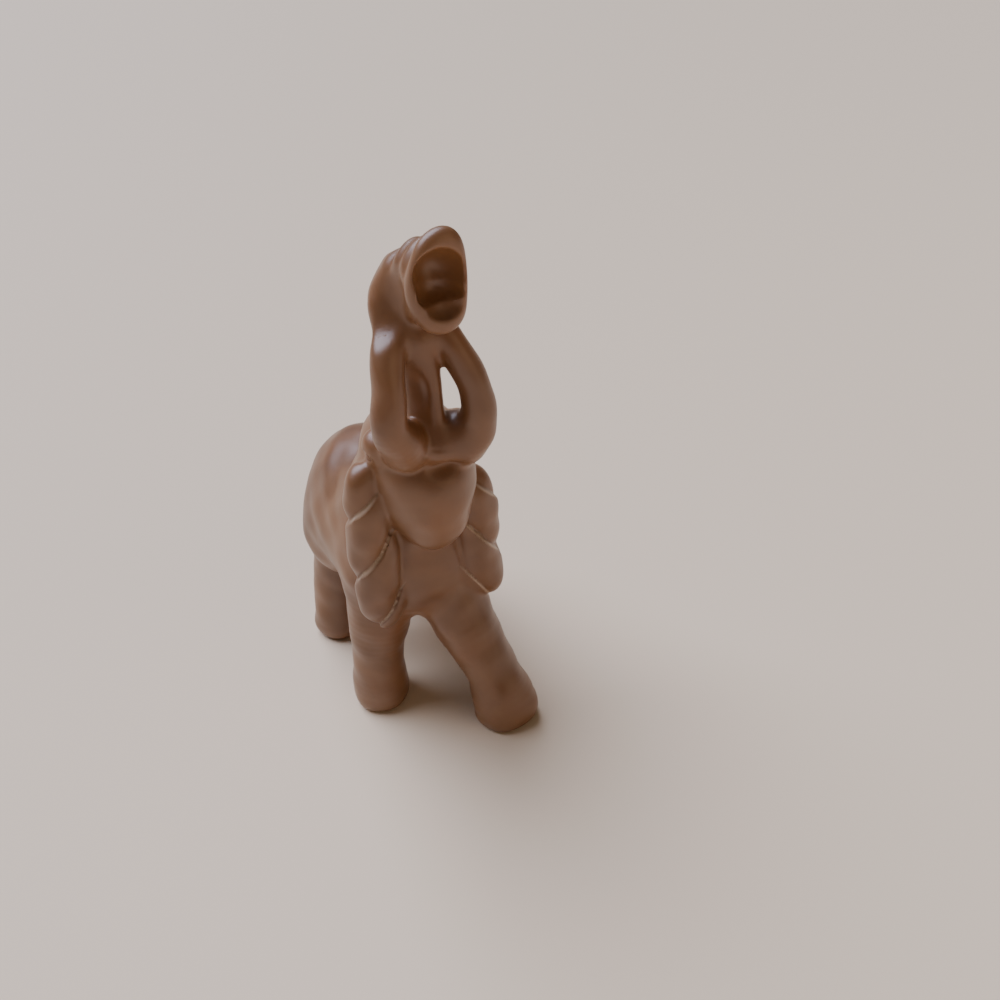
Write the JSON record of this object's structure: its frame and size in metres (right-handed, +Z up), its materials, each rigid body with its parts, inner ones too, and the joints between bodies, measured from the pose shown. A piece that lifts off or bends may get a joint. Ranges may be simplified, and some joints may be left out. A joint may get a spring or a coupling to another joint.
{
  "type": "soapstone elephant sculpture",
  "caption": "Small carved soapstone elephant, striding, with its trunk raised and curled and both tusks rising to join it.",
  "frame": {"origin": "on the ground under the middle of the figure's outline", "axes": "+Z up, the elephant faces -Y, its left side is +X"},
  "size_m": [0.038, 0.066, 0.1122],
  "materials": {
    "soapstone": "carved tan-brown soapstone, sanded fine and waxed to a soft satin sheen"
  },
  "bodies": {
    "root": {"elephant": "soapstone"}
  },
  "joints": []
}
